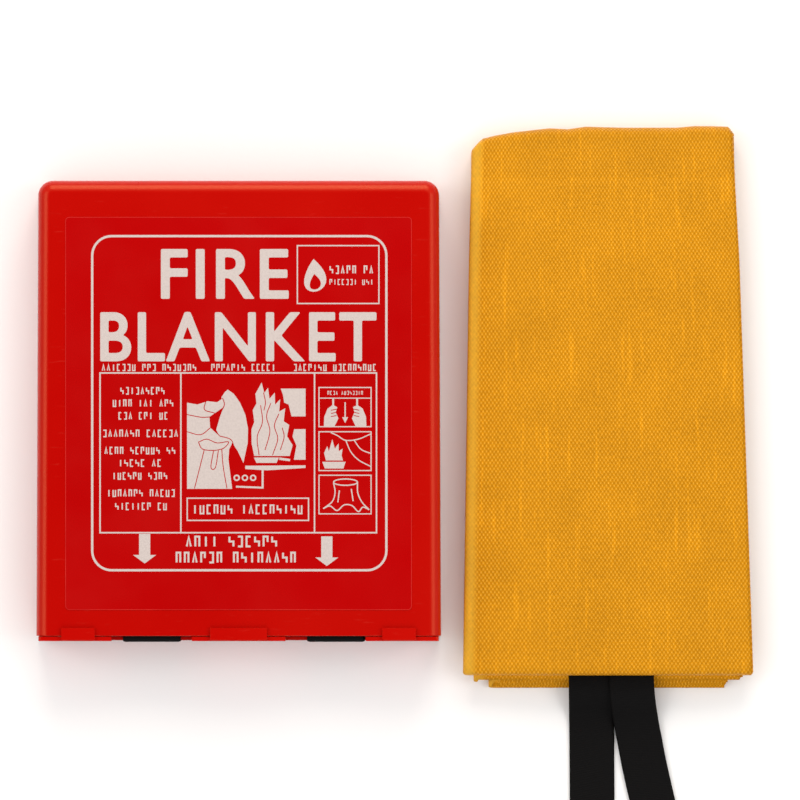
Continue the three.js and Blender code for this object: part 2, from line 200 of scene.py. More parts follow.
def shown(name, mesh, finish, body, slot, *replaced):
    """Puts a finished mesh into the scene at the origin, with its finish, the body that it rides on, the slot
    that it takes its finish from, which is not used, and the CAD nodes that it stands for."""
    mesh.materials.append(finish)
    piece = linked(name, mesh)
    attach(piece, body)
    if replaced:
        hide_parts(*replaced)
    return piece


def softened_edges(piece, radius, steps=2, angle=35, smooth=True):
    """Rounds a moulding's sharp edges. A curved moulding is shaded smooth, and one of flat faces is not."""
    if smooth:
        piece.data.shade_smooth()
    rounding = piece.modifiers.new("rounding", "BEVEL")
    rounding.width, rounding.segments = radius, steps
    rounding.limit_method, rounding.angle_limit = "ANGLE", math.radians(angle)
    rounding.harden_normals = smooth
    rounding.miter_outer = "MITER_ARC"


def moulding_from(node, name):
    """A copy of a CAD node's surface with its corners merged and its flat faces made whole."""
    mesh = bpy.data.meshes.new(name)
    work = bmesh.new()
    work.from_mesh(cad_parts[node].data)
    bmesh.ops.remove_doubles(work, verts=work.verts, dist=1e-6)
    bmesh.ops.dissolve_limit(work, angle_limit=math.radians(0.5), verts=work.verts, edges=work.edges)
    work.to_mesh(mesh)
    work.free()
    return mesh


back_plate = shown("wall_plate", moulding_from("back_plate", "wall_plate"), red_finish, "case",
                   "case_plastic", "back_plate")
softened_edges(back_plate, 0.25 * MM, smooth=False)

# ---- Front shell ----
# One red moulding with a front, a top and two slightly leaning sides, 2 mm thick, open at the back and the
# bottom. Four lugs inside its sides snap under the back plate's hooks.
case_flare = 1.0 * MM
shell_wall = 2.0 * MM
shell_corner = 8.0 * MM
shell_edge = 6.5 * MM
lug_heights = (49 * MM, 143 * MM)  # down from the top
lug_size = Vector((1.3 * MM + shell_wall / 2, 12 * MM, 1.6 * MM))  # it starts halfway through the wall
lug_bottom = 6.2 * MM


def grid_faces(rows, columns, start=0, flip=False):
    """The four-cornered faces of a grid of corners that are numbered row by row."""
    corner = start + np.arange((rows - 1) * columns).reshape(rows - 1, columns)[:, :-1].ravel()
    faces = np.column_stack([corner, corner + 1, corner + columns + 1, corner + columns])
    return faces[:, ::-1] if flip else faces


def welded(mesh, merge, drop_empty=False):
    """The mesh with doubled corners merged, empty faces dropped if asked, and its faces turned outwards."""
    work = bmesh.new()
    work.from_mesh(mesh)
    bmesh.ops.remove_doubles(work, verts=work.verts, dist=merge)
    if drop_empty:
        bmesh.ops.dissolve_degenerate(work, dist=merge, edges=work.edges)
    bmesh.ops.recalc_face_normals(work, faces=work.faces)
    work.to_mesh(mesh)
    work.free()
    mesh.shade_smooth()
    return mesh


def closed_mesh(name, corners, faces, merge=1e-6):
    """A welded mesh from arrays."""
    mesh = bpy.data.meshes.new(name)
    mesh.from_pydata(np.asarray(corners).tolist(), [], [list(map(int, face)) for face in faces])
    return welded(mesh, merge, drop_empty=True)


def shell_sheets(inset, side_rows=26, corner_rows=12, top_columns=16):
    """One skin of the shell, moved in by inset, as two grids. In the first, each row starts at the back on
    the left, climbs the side, turns a quarter circle on to the front, crosses it and mirrors down the right;
    the rows go up the sides and round the top corners. The second carries the same climb along the top."""
    corner, edge = shell_corner - inset, shell_edge - inset
    depth, top = shell_high.z - inset, shell_high.y - inset
    half_top = shell_high.x - case_flare - inset
    level = np.linspace(shell_low.y, top - corner, side_rows)
    lean = (top - corner - level) / (top - corner - shell_low.y)
    side = np.column_stack([-half_top - case_flare * lean, level])
    turn = np.linspace(np.pi, np.pi / 2, corner_rows + 1)[1:]
    outwards = np.column_stack([np.cos(turn), np.sin(turn)])
    round_corner = outwards * corner + (corner - half_top, top - corner)
    outline = np.concatenate([side, round_corner])
    normals = np.concatenate([np.tile([-1.0, 0.0], (side_rows, 1)), outwards])
    climb = np.linspace(0, np.pi / 2, 13)[1:]
    inward = np.concatenate([np.zeros(8), edge * (1 - np.cos(climb))])
    height = np.concatenate([np.linspace(0, depth - edge, 8), depth - edge + edge * np.sin(climb)])

    def climbed(points, facing):
        flat = points[:, None] - facing[:, None] * inward[None, :, None]
        return np.dstack([flat, np.broadcast_to(height, flat.shape[:2])])

    left = climbed(outline, normals)
    right = left[:, ::-1] * (-1, 1, 1)
    share = np.linspace(0, 1, 2 * top_columns + 1)[1:-1, None]
    across = left[:, -1:] * (1 - share) + right[:, :1] * share
    sides_and_front = np.concatenate([left, across, right], axis=1)
    along = np.linspace(corner - half_top, half_top - corner, 2 * top_columns + 1)
    top_points = np.column_stack([along, np.full(len(along), top)])
    return sides_and_front, climbed(top_points, np.tile([0.0, 1.0], (len(along), 1)))


corners, faces = [], []


def keep_grid(grid, flip=False):
    """Adds a grid of corners, with its faces, to what the shell is made of."""
    faces.append(grid_faces(*grid.shape[:2], sum(map(len, corners)), flip))
    corners.append(grid.reshape(-1, 3))


skins = [shell_sheets(0.0), shell_sheets(shell_wall)]
for skin, flip in zip(skins, (False, True)):
    for sheet in skin:
        keep_grid(sheet, flip)
for sheet, rim in ((0, np.s_[0]), (0, np.s_[:, 0]), (0, np.s_[:, -1]), (1, np.s_[:, 0])):
    keep_grid(np.stack([skin[sheet][rim] for skin in skins]))
shell_mesh = closed_mesh("shell", np.concatenate(corners), np.concatenate(faces))
work = bmesh.new()
work.from_mesh(shell_mesh)
for down in lug_heights:
    y = shell_high.y - down
    face_x = shell_high.x - case_flare * (y - shell_low.y) / (shell_high.y - shell_low.y) - shell_wall
    for side in (-1, 1):
        middle = Vector((side * (face_x + (shell_wall - lug_size.x) / 2), y, lug_bottom + lug_size.z / 2))
        bmesh.ops.create_cube(work, size=1.0, matrix=Matrix.LocRotScale(middle, None, lug_size))
work.to_mesh(shell_mesh)
work.free()
shell = shown("case_front", shell_mesh, red_finish, "case", "case_plastic", "front_shell")
softened_edges(shell, 0.35 * MM, angle=50)

# ---- Bottom flap ----
# A red moulding that closes the bottom and turns on its own bars. Three clips lap over the shell's front, and
# two notches let the tapes out.
# Painted light: the flap is the same red plastic painted a little lighter, so that its clips look lit.
flap_red_painted_lighter = red_plastic("red_plastic_flap", (0.450, 0.0009, 0.0004), (0.480, 0.0015, 0.0007))
flap = shown("flap_moulding", moulding_from("bottom_flap", "flap_moulding"), flap_red_painted_lighter, "flap",
             "case_plastic", "bottom_flap")
softened_edges(flap, 0.45 * MM, steps=3, smooth=False)

# ---- Front label ----
# A red self-adhesive film with pale print: a frame, the two words of the object's name, rows of small text
# that say nothing here, and plain pictures of what to do. The pictures and the text rows are generic.
label_low, label_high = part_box("front_label")
label_corner = 2.0  # in millimetres, like the shapes on the label
ink_thickness = 0.03 * MM
ink_root = 0.01 * MM  # how far the print and the cut edge reach into the film

film_finish, tree, shader = new_finish("label_film", IOR=1.45, Specular_IOR_Level=0.40,
                                       Specular_Tint=(1.0, 0.55, 0.40, 1))
place = own_place(tree)
film_red = ramp_between(speckle(place, 0.12, 3), (0.3, (0.400, 0.0004, 0.0008)),
                        (0.7, (0.425, 0.0008, 0.0014)))
wired(shader, Base_Color=film_red, Roughness=remapped(speckle(place, 0.03), 0.22, 0.32, 0.3, 0.7),
      Normal=bumped(speckle(place, 0.004, 3), 0.00004, 0.35))

ink_finish, tree, shader = new_finish("pale_ink", Roughness=0.55)
place = own_place(tree)
ink_tone = ramp_between(speckle(place, 0.0012, 3), (0.25, (0.495, 0.425, 0.400)),
                        (0.6, (0.550, 0.475, 0.445)))
wired(shader, Base_Color=ink_tone, Normal=bumped(speckle(place, 0.0006), 0.00001, 0.4))


def round_rectangle(low, high, radius, steps=8):
    """A rectangle's outline with quarter circles for corners, anticlockwise."""
    quarter = np.linspace(0, np.pi / 2, steps + 1)
    arcs = []
    for k, (x, y) in enumerate(((high[0], high[1]), (low[0], high[1]), (low[0], low[1]), (high[0], low[1]))):
        angle = quarter + k * np.pi / 2
        middle = (x - radius * (1 if k in (0, 3) else -1), y - radius * (1 if k in (0, 1) else -1))
        arcs.append(np.column_stack([np.cos(angle), np.sin(angle)]) * radius + middle)
    return np.concatenate(arcs)


def at(points):
    """Points or lengths given in millimetres, in metres."""
    return np.asarray(points, float) * MM


def unit(vectors):
    """Each row brought to a length of 1."""
    return vectors / np.linalg.norm(vectors, axis=1)[:, None]


class Prisms:
    """Collects flat shapes, given in millimetres, as upright prisms on one level, for one mesh. Each is a
    hair taller than the one before it, five times over, so that overlapping ones keep their tops apart."""

    def __init__(self, bottom, top):
        self.bottom, self.tops = bottom, [top + 0.006 * MM * step for step in range(5)]
        self.corners, self.faces, self.count = [], [], 0

    @property
    def top(self):
        self.tops = self.tops[1:] + self.tops[:1]
        return self.tops[0]

    def keep(self, corners, faces):
        self.corners.append(np.asarray(corners, float))
        self.faces.extend([[int(i) + self.count for i in face] for face in faces])
        self.count += len(corners)

    def filled(self, outline):
        """A prism whose outline is a closed loop of (x, y)."""
        outline = at(outline)
        n = len(outline)
        rings = [np.column_stack([outline, np.full(n, level)]) for level in (self.bottom, self.top)]
        wall = [(i, (i + 1) % n, n + (i + 1) % n, n + i) for i in range(n)]
        self.keep(np.concatenate(rings), [list(range(n))[::-1], list(range(n, 2 * n)), *wall])

    def line(self, points, width, closed=False):
        """A ribbon of even width along points, mitred where it turns."""
        points, half = at(points), width * MM / 2
        n = len(points)
        ahead = np.roll(points, -1, 0) - points
        behind = points - np.roll(points, 1, 0)
        if not closed:
            ahead[-1], behind[0] = behind[-1], ahead[0]
        ahead = unit(ahead)
        turn = unit(ahead + unit(behind))
        side = np.column_stack([-turn[:, 1], turn[:, 0]]) / np.maximum((turn * ahead).sum(1), 0.5)[:, None]
        left, right, top = points + side * half, points - side * half, self.top
        ring = np.stack([np.column_stack([p, np.full(n, level)]) for p, level in
                         ((left, self.bottom), (left, top), (right, top), (right, self.bottom))], 1)
        spans = n if closed else n - 1
        faces = [(4 * i + k, 4 * i + (k + 1) % 4, 4 * ((i + 1) % n) + (k + 1) % 4, 4 * ((i + 1) % n) + k)
                 for i in range(spans) for k in range(4)]
        if not closed:
            faces += [(3, 2, 1, 0), (4 * n - 4, 4 * n - 3, 4 * n - 2, 4 * n - 1)]
        self.keep(ring.reshape(-1, 3), faces)

    def mesh(self, name):
        mesh = closed_mesh(name, np.concatenate(self.corners), self.faces, merge=1e-8)
        mesh.shade_flat()
        return mesh


film = Prisms(label_low.z, label_high.z)
film.filled(round_rectangle(label_low / MM, label_high / MM, label_corner))
shown("label_film", film.mesh("label_film"), film_finish, "case", "label_film", "front_label")

ink = Prisms(label_high.z - ink_root, label_high.z + ink_thickness)
gaps = Prisms(label_high.z, label_high.z + 2.2 * ink_thickness)  # film red again, over the ink


def disc(x, y, radius, steps):
    angle = np.linspace(0, 2 * np.pi, steps, endpoint=False)
    return np.column_stack([x + radius * np.cos(angle), y + radius * np.sin(angle)])


def flame_outline(x, y, width, height, lean, steps=28):
    """A drop with a pointed top: its half width is a sine that shrinks towards the tip, and it leans."""
    t = np.linspace(0, 2 * np.pi, steps, endpoint=False)
    rise = 0.5 - 0.5 * np.cos(t)
    half = np.sin(t) * np.maximum(1 - rise, 0) ** 0.45 * 0.72 * width
    return np.column_stack([x + half + lean * np.sin(np.pi * rise), y + rise * height])


def smooth_route(points, per_span=8):
    """A Catmull-Rom curve through points: between two of them, the cubic whose slope at each is half the way
    between its neighbours."""
    p = np.asarray(points, float)
    p = np.concatenate([[2 * p[0] - p[1]], p, [2 * p[-1] - p[-2]]])
    t = np.linspace(0, 1, per_span, endpoint=False)[None, :, None]
    a, b, c, d = (p[k:len(p) - 3 + k, None] for k in range(4))
    curve = 0.5 * (2 * b + (c - a) * t + (2 * a - 5 * b + 4 * c - d) * t**2 + (3 * b - a - 3 * c + d) * t**3)
    return np.concatenate([curve.reshape(-1, p.shape[1]), p[-2:-1]])


# Strokes that stand for letters in the rows of small text, in a square of 1.
text_strokes = (
    ((0, 0), (0, 1), (1, 1), (1, 0)),
    ((0, 1), (0, 0), (1, 0), (1, 1)),
    ((0, 0), (0, 1), (1, 1), (1, 0.45)),
    ((0, 1), (0, 0.5), (1, 0.5), (1, 0)),
    ((1, 1), (0, 1), (0, 0), (1, 0)),
    ((0, 0), (0.5, 1), (1, 0)),
    ((0, 1), (1, 1), (1, 0), (0, 0)),
    ((0.5, 0), (0.5, 1)),
)


def text_row(random, x, y, width, height):
    """A row of small strokes in groups, as long as words, that reads as text from afar and says nothing."""
    stroke, gap = 0.165 * height, 0.22 * height
    cells = max(3, round((width + gap) / (0.70 * height)))
    advance = (width + gap) / cells
    until_gap = random.integers(3, 8)
    for cell in range(cells):
        until_gap -= 1
        if until_gap < 0 and 1 < cell < cells - 2:
            until_gap = random.integers(3, 8)
            continue
        shape = np.array(text_strokes[random.integers(len(text_strokes))])
        box = (advance - gap - stroke, height - stroke)
        corner = (x - width / 2 + cell * advance + stroke / 2, y - height / 2 + stroke / 2)
        ink.line(shape * box + corner, stroke)


ink.line(round_rectangle((-78.4, -85.4), (79.2, 93.6), 10.4, 12), 1.25, closed=True)
for low, high, width in (
    ((-74.2, -65.3), (73.9, 20.3), 0.8),
    ((31.5, 57.5), (75.2, 88.5), 0.7),
    ((-27.5, -58.7), (37.5, -46.8), 0.7),
    ((43.1, -8.5), (71.0, 12.5), 0.6),
    ((43.1, -32.0), (71.0, -11.2), 0.6),
    ((43.1, -55.2), (71.0, -34.5), 0.6),
):
    ink.line([low, (high[0], low[1]), high, (low[0], high[1])], width, closed=True)
for x in (-30.9, 40.7):
    ink.line([(x, -65.3), (x, 20.3)], 0.8)

random = np.random.default_rng(7)
for x, y, width, height in (
    (-48.0, 23.2, 50.6, 3.9), (2.5, 23.2, 34.3, 3.9), (51.6, 23.2, 44.4, 3.9),
    (-51.5, 10.7, 23.7, 4.1), (-51.2, 4.1, 32.4, 4.1), (-51.1, -2.7, 26.5, 4.1),
    (-52.6, -12.1, 40.3, 4.1),
    (-52.9, -21.3, 38.0, 4.1), (-52.8, -28.0, 22.8, 4.1), (-52.9, -34.9, 29.3, 4.1),
    (-52.3, -44.1, 36.2, 4.1), (-52.3, -51.2, 27.7, 4.1),
    (4.8, -52.8, 58.9, 5.3),
    (-3.8, -70.0, 48.9, 6.3), (-1.5, -78.6, 64.4, 6.3),
    (60.4, 75.6, 23.4, 4.6), (60.4, 69.0, 23.4, 3.2),
    (57.1, 9.6, 19.0, 2.2),
):
    text_row(random, x, y, width, height)
arrow = np.array([(-3, -65.9), (-3, -77.2), (-6.2, -77.2), (0, -81.8), (6.2, -77.2), (3, -77.2), (3, -65.9)])
for x, lower in ((-50.3, 0.0), (47.3, 1.35)):
    ink.filled(arrow + (x, -lower))

# A plain flame in the upper box.
ink.filled(flame_outline(40.2, 63.8, 10.5, 17.5, 1.0))
gaps.filled(flame_outline(40.6, 65.0, 5.2, 8.2, 0.6))

# The big picture: someone seen from behind holds the blanket up and lowers it over a burning pan.
ink.filled([(-27.6, 4.4), (-22.0, 3.4), (-16.5, 5.2), (-11.5, 4.6), (-8.3, 6.8), (-6.6, 5.6), (-8.6, 1.6),
               (-12.6, -1.2), (-15.6, -3.2), (-15.2, -9.0), (-10.8, -13.0), (-4.6, -14.6), (-3.2, -16.8),
               (-5.0, -20.6), (-5.4, -26.0), (-3.4, -41.8), (-27.6, -41.8)])
ink.filled([(-5.8, 11.4), (-2.6, 9.2), (0.8, 4.4), (3.7, -2.2), (5.1, -9.6), (4.9, -17.2), (2.6, -28.0),
               (-0.4, -21.6), (-3.2, -17.4), (-4.4, -15.4), (-10.2, -13.6), (-12.0, -10.2), (-9.4, -1.2),
               (-8.0, 3.0), (-9.2, 7.2), (-7.4, 10.0)])
ink.filled([(8.4, -24.2), (7.0, -17.5), (6.9, -10.0), (8.4, -6.0), (7.6, 0.5), (9.6, 4.0), (9.0, 9.0),
               (12.4, 15.2), (13.8, 9.6), (15.8, 12.4), (16.6, 6.5), (19.4, 9.8), (19.6, 3.4), (22.3, 6.2),
               (21.8, -0.4), (25.0, 1.4), (24.2, -5.6), (27.2, -7.6), (26.0, -13.6), (29.0, -18.4),
               (27.4, -24.2)])
ink.filled([(22.6, 11.9), (35.9, 11.9), (35.9, -3.0), (28.4, -3.0), (26.8, 3.4), (24.4, 4.4),
               (23.8, 8.6)])
ink.filled([(29.8, -9.8), (35.9, -9.8), (35.9, -26.2), (29.6, -26.2), (31.0, -18.6), (28.9, -13.8)])
ink.filled([(8.2, -25.0), (21.6, -25.0), (20.4, -27.9), (9.6, -27.9)])
ink.line([(21.8, -25.6), (27.6, -26.4)], 1.3)
ink.filled([(3.6, -29.4), (35.9, -29.2), (35.9, -30.6), (15.0, -31.9), (3.6, -31.2)])
ink.line([(12.9, -31.6), (12.9, -41.0)], 1.1)
ink.line([(-1.4, -40.6), (13.4, -41.2)], 1.0)
for x in (-1.0, 3.4, 7.8):
    ink.line(disc(x, -35.9, 1.35, 14), 0.8, closed=True)
for points in (
    ((-27.6, -2.0), (-20.2, -3.4), (-15.4, -3.3)),
    ((-17.6, 5.0), (-18.2, 0.6), (-12.8, -1.2)),
    ((-8.6, 6.9), (-7.6, 3.4), (-9.4, -1.0), (-12.2, -9.8), (-10.4, -13.2)),
    ((-27.6, -11.2), (-20.4, -12.8), (-15.2, -9.2)),
    ((-10.4, -13.4), (-4.4, -15.2), (-2.6, -18.4)),
    ((-21.6, -16.8), (-17.0, -15.2), (-11.5, -17.2), (-5.4, -16.6), (-8.0, -20.0), (-13.6, -21.2),
     (-19.4, -20.4), (-21.4, -17.0)),
    ((-13.4, -21.4), (-14.8, -30.2), (-12.4, -30.4), (-10.8, -21.2)),
    ((-18.4, -21.0), (-23.6, -41.6)),
    ((-9.0, -20.6), (-8.2, -30.0), (-6.2, -41.6)),
    ((11.0, -23.8), (10.0, -14.0), (12.8, -6.0), (11.8, 3.0)),
    ((14.2, -21.0), (16.8, -11.0), (15.0, -3.0), (17.2, 4.0)),
    ((18.2, -23.8), (21.0, -15.0), (19.2, -8.0), (21.6, -1.6)),
    ((22.4, -21.0), (24.4, -14.0), (23.4, -9.0)),
    ((13.4, 9.8), (14.4, 4.6), (13.6, 0.2)),
):
    gaps.line(smooth_route(points, 5), 0.42)

# Three small pictures: draw the blanket out by its tapes, lay it over the pan, leave the pan covered.
ink.line([(43.1, 6.8), (71.0, 6.8)], 0.55)
hand = np.array([(11.4, -8.2), (11.2, -3.2), (9.4, 1.2), (6.6, 3.2), (4.2, 2.0), (5.0, -0.8), (3.6, -4.0),
                 (5.6, -8.2)])
for side in (-1, 1):
    ink.filled(hand * (side, 1) + (57.1, 0))
    ink.line([(57.1 + side * 6.4, 3.0), (57.1 + side * 6.4, 6.8)], 1.0)
    for finger in (0.0, 1.7, 3.4):
        gaps.line([(57.1 + side * 4.6, 0.9 - finger), (57.1 + side * 7.6, 0.3 - finger)], 0.4)
ink.line([(57.1, 4.6), (57.1, -3.6)], 0.7)
ink.filled([(55.5, -3.4), (57.1, -6.6), (58.7, -3.4)])
ink.filled([(46.8, -26.6), (45.8, -22.6), (47.5, -18.9), (48.4, -21.6), (50.2, -15.2), (51.6, -20.2),
               (53.6, -17.4), (53.7, -21.6), (55.8, -20.2), (55.2, -24.0), (56.0, -26.6)])
ink.filled([(44.8, -27.3), (57.4, -27.3), (56.2, -30.9), (46.2, -30.9)])
for points in (
    ((49.4, -11.6), (53.2, -13.4), (57.4, -15.8), (64.0, -15.2), (70.8, -12.4)),
    ((57.4, -15.8), (60.2, -22.0), (64.4, -26.4), (70.8, -29.8)),
    ((61.8, -15.6), (65.6, -20.6), (70.8, -22.8)),
):
    ink.line(smooth_route(points), 0.6)
ink.line(disc(0, 0, 1.0, 28) * (6.4, 1.7) + (57.3, -38.2), 0.65, closed=True)
for points in (
    ((50.9, -38.6), (51.7, -43.6), (50.2, -48.6), (45.3, -52.4)),
    ((45.3, -52.4), (49.0, -51.0), (52.8, -53.4), (56.6, -50.4), (60.8, -50.8), (64.2, -54.0), (66.6, -51.6),
     (70.0, -53.0)),
    ((70.0, -53.0), (66.2, -49.0), (63.9, -44.0), (63.7, -38.6)),
    ((54.0, -42.6), (53.2, -49.0)),
    ((60.4, -41.8), (61.4, -48.4)),
):
    ink.line(smooth_route(points), 0.65)


def outlines_of(mesh):
    """The closed outlines in a mesh that is only edges, each as its points in order."""
    beside = {k: [] for k in range(len(mesh.vertices))}
    for edge in mesh.edges:
        for k in (0, 1):
            beside[edge.vertices[k]].append(edge.vertices[1 - k])
    left, found = set(beside), []
    while left:
        loop = [min(left)]
        left.discard(loop[0])
        while ahead := [k for k in beside[loop[-1]] if k in left]:
            loop.append(ahead[0])
            left.discard(ahead[0])
        found.append(np.array([mesh.vertices[k].co[:2] for k in loop]))
    return found


def lies_inside(point, outline):
    """Whether a line from a point to its right crosses the outline an odd number of times."""
    (x, y), (x2, y2) = outline.T, np.roll(outline, -1, 0).T
    spans = (y > point[1]) != (y2 > point[1])
    at_x = x + (x2 - x) * (point[1] - y) / np.where(spans, y2 - y, 1)
    return np.count_nonzero(spans & (at_x > point[0])) % 2 == 1


def grown(outline, amount):
    """An outline with each side moved out by amount, or in if it is negative. A point that ends up nearer
    than that to another side is left out, so that the new outline does not cross itself in its hollows."""
    side = np.roll(outline, -1, 0) - outline
    turned = np.sign(np.sum(outline[:, 0] * side[:, 1] - outline[:, 1] * side[:, 0]))
    normal = turned * unit(np.column_stack([side[:, 1], -side[:, 0]]))
    before = np.roll(normal, 1, 0)
    moved = outline + amount * (normal + before) / np.maximum(1 + (normal * before).sum(1), 0.15)[:, None]
    share = np.clip(((moved[:, None] - outline) * side).sum(2) / (side**2).sum(1), 0, 1)
    nearest = np.linalg.norm(moved[:, None] - outline - share[..., None] * side, axis=2).min(1)
    return moved[nearest > 0.9 * abs(amount)]


def corners_rounded(outline, radius):
    """An outline whose sharp corners are parabolas that leave its sides up to radius before them."""
    rounded, t = [], np.linspace(0, 1, 6)[:, None]
    for before, corner, after in zip(np.roll(outline, 1, 0), outline, np.roll(outline, -1, 0)):
        back, on = before - corner, after - corner
        lengths = np.linalg.norm(back), np.linalg.norm(on)
        if min(lengths) < 1e-9 or np.dot(back, on) / (lengths[0] * lengths[1]) < -0.77:
            rounded.append(corner[None])
            continue
        start = corner + back * min(radius / lengths[0], 0.45)
        end = corner + on * min(radius / lengths[1], 0.45)
        rounded.append((1 - t) ** 2 * start + 2 * t * (1 - t) * corner + t**2 * end)
    return np.concatenate(rounded)


def mesh_of_curve(curve):
    """The mesh that a curve or a text makes."""
    holder = linked("made", curve)
    bpy.context.view_layer.update()
    made = bpy.data.meshes.new_from_object(holder.evaluated_get(bpy.context.evaluated_depsgraph_get()))
    bpy.data.objects.remove(holder)
    return made


ink_work = bmesh.new()
ink_work.from_mesh(ink.mesh("ink"))
letter_growth, letter_corner = 0.62, 0.9  # millimetres, the growth each way
for words, low, high in (("FIRE", (-41.6, 60.0), (26.9, 86.7)), ("BLANKET", (-74.1, 26.5), (73.9, 53.0))):
    letters = bpy.data.curves.new("letters", "FONT")
    letters.body, letters.size, letters.fill_mode = words, 1.0, "NONE"
    letters.space_character = 1.10
    outlines = outlines_of(mesh_of_curve(letters))
    every = np.concatenate(outlines)
    span_low, span = every.min(0), np.ptp(every, 0)
    low, high = np.array(low) + letter_growth, np.array(high) - letter_growth
    filled = bpy.data.curves.new("filled", "CURVE")
    filled.dimensions, filled.fill_mode, filled.extrude = "2D", "BOTH", (ink_thickness + ink_root) / 2
    for outline in outlines:
        hole = sum(lies_inside(outline[0], other) for other in outlines if other is not outline) % 2
        placed = at(low + (outline - span_low) / span * (high - low))
        placed = corners_rounded(grown(placed, letter_growth * MM * (-1 if hole else 1)), letter_corner * MM)
        spline = filled.splines.new("POLY")
        spline.points.add(len(placed) - 1)
        with_weight = np.pad(placed, ((0, 0), (0, 2)))  # x, y, 0 and a weight of 1
        with_weight[:, 3] = 1
        spline.points.foreach_set("co", with_weight.ravel())
        spline.use_cyclic_u = True
    flat = mesh_of_curve(filled)
    places = np.array([v.co for v in flat.vertices])
    places[:, 2] += label_high.z + (ink_thickness - ink_root) / 2
    flat.vertices.foreach_set("co", places.ravel())
    ink_work.from_mesh(flat)
ink_mesh = bpy.data.meshes.new("label_print")
ink_work.to_mesh(ink_mesh)
ink_work.free()
welded(ink_mesh, 1e-8).shade_flat()
shown("label_print", ink_mesh, ink_finish, "case", "label_film")
shown("label_gaps", gaps.mesh("label_gaps"), film_finish, "case", "label_film")

# The film's cut edge shows as a fine paler line all round it.
edge_finish, tree, shader = new_finish("film_edge", Roughness=0.35)
place = own_place(tree)
edge_tone = ramp_between(speckle(place, 0.02, 3), (0.3, (0.48, 0.004, 0.003)),
                         (0.7, (0.60, 0.020, 0.014)))
wired(shader, Base_Color=edge_tone)
edge_width = 0.3
edge = Prisms(label_high.z - ink_root, label_high.z + 0.02 * MM)
edge_low, edge_high = np.array(label_low) / MM + edge_width / 2, np.array(label_high) / MM - edge_width / 2
edge.line(round_rectangle(edge_low, edge_high, label_corner), edge_width, closed=True)
shown("label_film_edge", edge.mesh("label_film_edge"), edge_finish, "case", "label_film")

# ---- Packed blanket ----
# One 1.2 m square of woven glass cloth with a golden silicone coating, folded like a fan in six across and in
# six along, so that it falls open when it is drawn out of the case by its tapes.
cloth_side = 1.2
cloth_thickness = 0.40 * MM
weave_across, weave_along = 2.12 * MM, 3.08 * MM

cloth_finish, tree, shader = new_finish("glass_cloth", IOR=1.42, Specular_IOR_Level=0.28,
                                        Specular_Tint=(1.0, 0.72, 0.35, 1))
weave_place = node_for(tree, "UVMap", uv_map="cloth").outputs["UV"]
wobble = node_for(tree, "TexNoise", Vector=weave_place, Scale=160.0, Detail=2.0)
wobbled = node_for(tree, "VectorMath", operation="MULTIPLY_ADD", in0=wobble.outputs["Color"],
                   in1=(0.0006, 0.0008, 0.0), in2=weave_place).outputs["Vector"]
across = node_for(tree, "SeparateXYZ", Vector=wobbled)


def figured(operation, *values):
    """What a Math node makes of an output and other values, in the output's own tree."""
    inputs = {f"in{k}": value for k, value in enumerate(values)}
    return node_for(values[0].id_data, "Math", operation=operation, **inputs).outputs[0]


def wave(value, period):
    """The cosine of a length, once round in each period."""
    return figured("COSINE", figured("MULTIPLY", value, 2 * math.pi / period))


def from_line(value, line):
    """How far a length is past a line across it, and how far it is from that line on either side."""
    gone = figured("SUBTRACT", value, line)
    return gone, figured("ABSOLUTE", gone)


side_fold, old_fold = 0.1536, -0.1211  # the outermost fold and an old crease on the cloth that lies out
# Painted light: the band along the outermost fold is painted lighter and yellower, as if lit from the side,
# and its weave is flattened there.
from_side = from_line(across.outputs["X"], side_fold)[1]
painted_fold_light = remapped(from_side, 1.0, 0.0, 0.0046, 0.0080)
below_fold, from_fold = from_line(across.outputs["Y"], old_fold)
# Painted light and shade: that cloth's two ends are painted paler, against the shade of the folds above them,
# with a painted dark line of shade where the next fold comes to its end.
to_end = node_for(tree, "Attribute", attribute_name="to_end").outputs["Fac"]
crossing = figured("MULTIPLY", wave(across.outputs["X"], weave_across),
                   wave(across.outputs["Y"], weave_along))
crossing = figured("MULTIPLY", crossing, remapped(painted_fold_light, 1.0, 0.3))
crowns = remapped(crossing, 0.0, 1.0, -0.9, 0.9)
patches = speckle(weave_place, 0.035, 3)
thread_tone = speckle(weave_place, 0.0022, 2)
# The weave is drawn into the colour, partly as painted light: its crowns are painted lighter and whiter, a
# painted highlight, and the hollows between them darker, a painted shade.
gold = ramp_between(crowns, (0.0, (0.480, 0.182, 0.0006)), (0.40, (0.545, 0.214, 0.0013)),
                    (0.72, (0.610, 0.258, 0.0055)), (1.0, (0.735, 0.355, 0.0360)))
tint = remapped(thread_tone, 0.92, 1.08, 0.3, 0.7)
slub_place = node_for(tree, "Mapping", Vector=weave_place, Scale=(330, 22, 1)).outputs["Vector"]
slubs = speckle(slub_place, 1.0)
for more in (
    remapped(patches, -0.06, 0.06, 0.3, 0.7),
    remapped(slubs, 0.0, 0.16, 0.58, 0.70),
    # Painted light on the old crease: a lighter line on it, and a lighter band above it that is brightest
    # near it. More than 2 cm below it the cloth is darker.
    remapped(from_fold, 0.05, 0.0, 0.0004, 0.0020),
    remapped(below_fold, -0.12, -0.015, -0.0275, -0.020),
    remapped(below_fold, 0.0, 0.045, -0.004, 0.004),
    remapped(below_fold, 0.0, -0.035, 0.004, 0.060),
    remapped(painted_fold_light, 0.0, 0.10),
    # painted light and shade at the folded cloth's ends
    remapped(to_end, 0.0, -0.14, 0.0, 0.004),
    remapped(to_end, 0.0, 0.42, 0.0076, 0.0086),
    remapped(to_end, 0.0, -0.32, 0.0104, 0.0120),
):
    tint = figured("ADD", tint, more)
toned = node_for(tree, "VectorMath", operation="SCALE", in0=gold, Scale=tint).outputs["Vector"]
